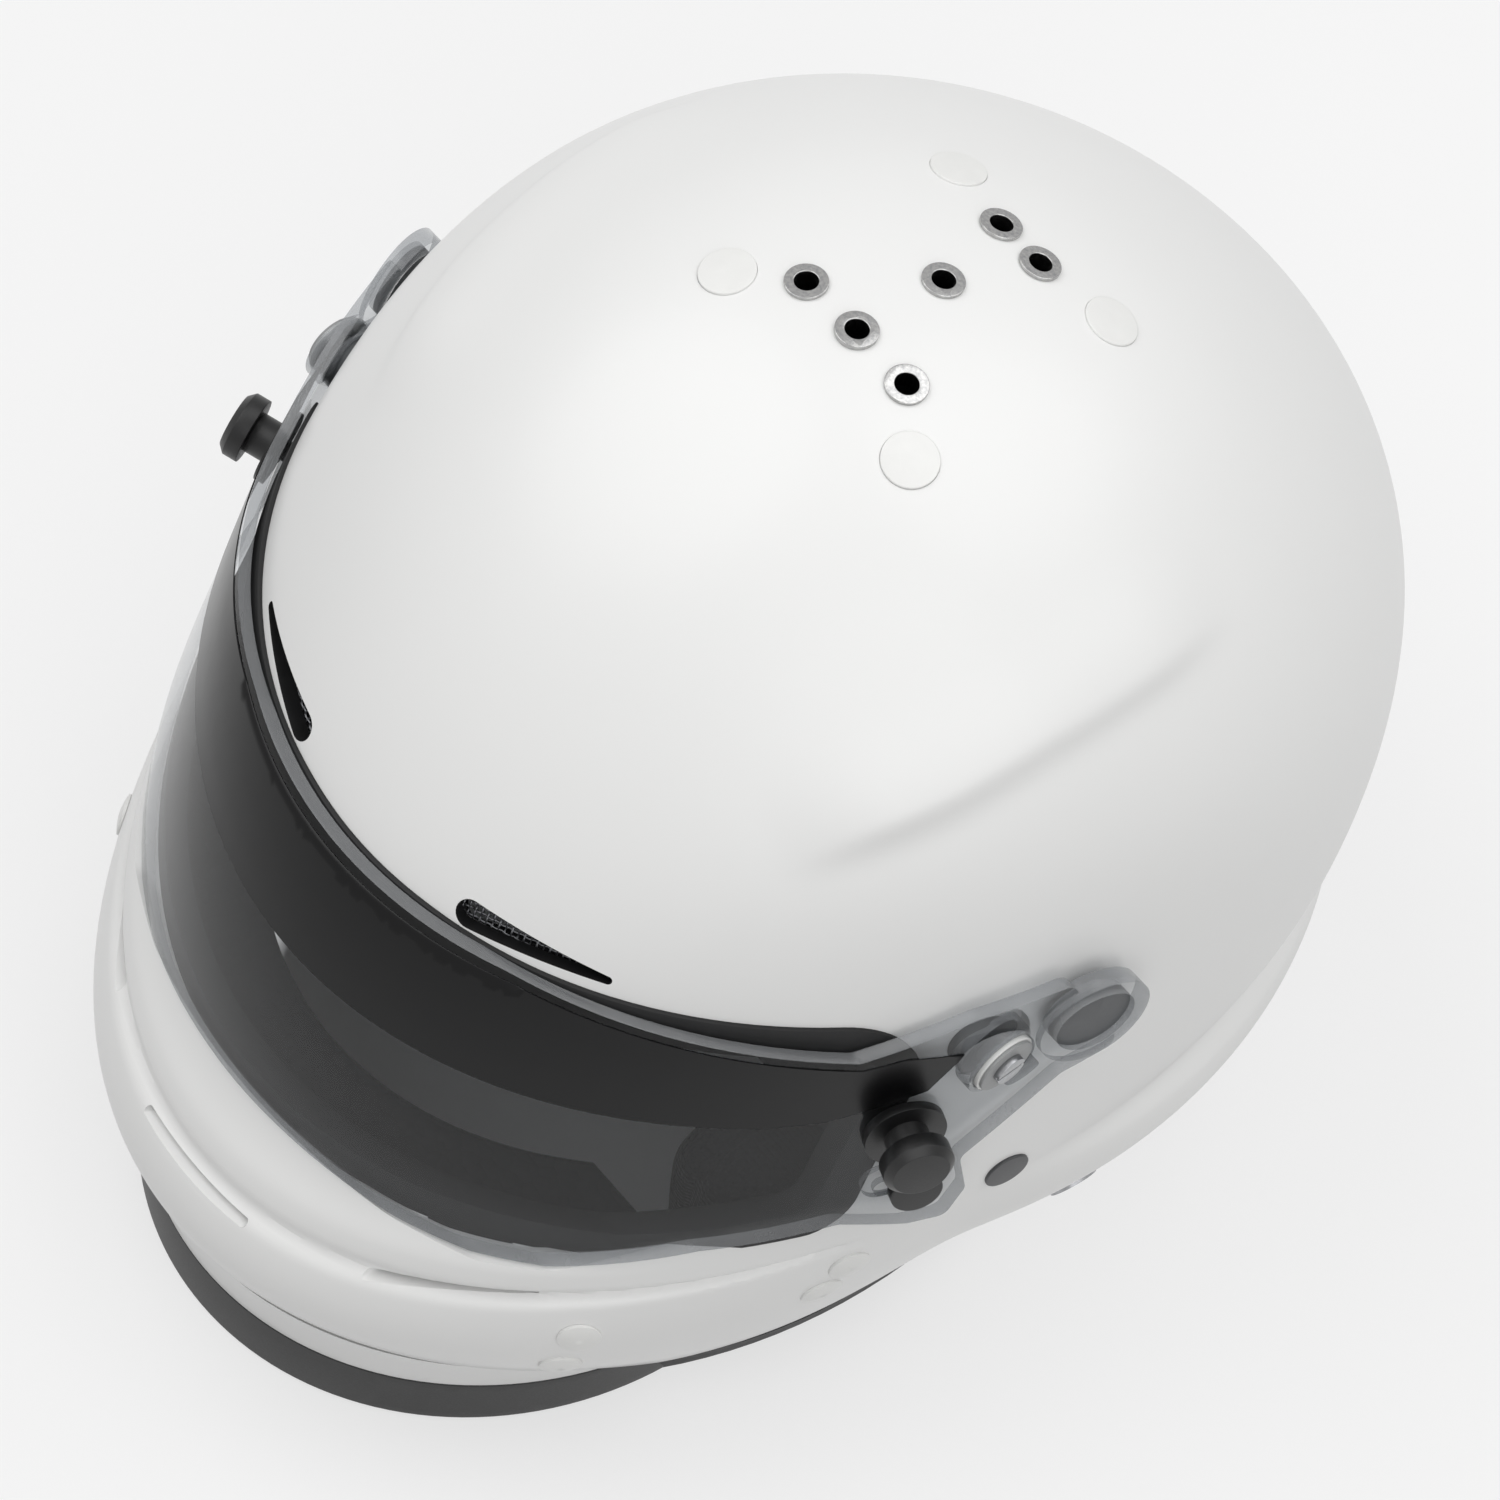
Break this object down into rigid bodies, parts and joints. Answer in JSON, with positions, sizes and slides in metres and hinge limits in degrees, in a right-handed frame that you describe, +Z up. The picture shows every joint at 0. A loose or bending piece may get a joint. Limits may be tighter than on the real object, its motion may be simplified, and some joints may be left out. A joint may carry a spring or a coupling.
{
  "type": "auto racing helmet",
  "caption": "Full-face auto racing helmet with a hinged clear shield, black sun strip, tear-off posts, vented brow and chin bar, chin spoiler and a padded interior with chin strap.",
  "frame": {"origin": "middle of the helmet's length and width, at the height of the surface it stands on", "axes": "+Z up, the wearer faces -Y, the wearer's left is +X"},
  "size_m": [0.252, 0.3169, 0.256],
  "materials": {
    "shell_white": "gloss clear coat",
    "gasket_rubber": "matt",
    "trim_rubber": "satin",
    "liner_foam": "matt beaded foam",
    "comfort_fabric": "brushed knit",
    "webbing": "woven webbing",
    "steel": "satin",
    "black_plastic": "satin",
    "grey_plastic": "satin",
    "mesh_black": "satin",
    "eyelet_metal": "polished",
    "cap_white": "satin",
    "insert_aluminium": "satin",
    "shield_clear": "clear polished",
    "strip_black": "gloss film",
    "spacer_clear": "satin"
  },
  "bodies": {
    "helmet": {"outer_shell": "shell_white", "eyeport_gasket": "gasket_rubber", "base_edge_trim": "trim_rubber", "impact_liner": "liner_foam", "chin_liner": "liner_foam", "crown_pad": "comfort_fabric", "cheek_pad_left": "comfort_fabric", "cheek_pad_right": "comfort_fabric", "nape_pad": "comfort_fabric", "chin_strap_left": "webbing", "chin_strap_right": "webbing", "strap_snap": "black_plastic", "strap_rivets": "steel", "brow_vent_mesh_left": "mesh_black", "brow_vent_mesh_right": "mesh_black", "chin_vent_mesh": "mesh_black", "crown_eyelets": "eyelet_metal", "crown_plugs": "cap_white", "chin_caps": "cap_white", "anchor_insert_left": "insert_aluminium", "anchor_insert_right": "insert_aluminium", "anchor_plugs": "grey_plastic", "chin_spoiler": "shell_white", "spoiler_lip": "black_plastic", "pivot_base_left": "black_plastic", "pivot_base_right": "black_plastic", "pivot_spacers": "spacer_clear", "pivot_washers": "grey_plastic", "pivot_screws": "steel", "pivot_nuts": "steel", "stop_pins": "steel"},
    "shield_assembly": {"shield": "shield_clear", "sun_strip": "strip_black", "post_base_left": "black_plastic", "post_base_right": "black_plastic", "arm_disc_left": "grey_plastic", "arm_disc_right": "grey_plastic"},
    "left_post_cap": {"post_cap_left": "black_plastic"},
    "right_post_cap": {"post_cap_right": "black_plastic"},
    "lock": {"lock_button": "black_plastic", "lock_plate": "black_plastic"},
    "d_rings": {"d_ring_outer": "steel", "d_ring_inner": "steel"}
  },
  "joints": [
    {"name": "shield_hinge", "type": "hinge", "parent": "helmet", "child": "shield_assembly", "pos_m": [0, -0.0245, 0.154], "axis": [-1, 0, 0], "range_deg": [0, 30]},
    {"name": "left_cap_turn", "type": "hinge", "parent": "shield_assembly", "child": "left_post_cap", "pos_m": [0.10909, -0.0446, 0.137], "axis": [0.9019, -0.3926, 0.1801], "range_deg": [0, 90]},
    {"name": "right_cap_turn", "type": "hinge", "parent": "shield_assembly", "child": "right_post_cap", "pos_m": [-0.10909, -0.0446, 0.137], "axis": [-0.9019, -0.3926, 0.1801], "range_deg": [-90, 0]},
    {"name": "lock_slide", "type": "slide", "parent": "shield_assembly", "child": "lock", "axis": [-0.3803, -0.9249, 0], "range_m": [0, 0.0065]},
    {"name": "d_ring_swing", "type": "hinge", "parent": "helmet", "child": "d_rings", "pos_m": [0.058, 0.01, 0.038], "axis": [0, 1, 0], "range_deg": [-5, 80]}
  ]
}
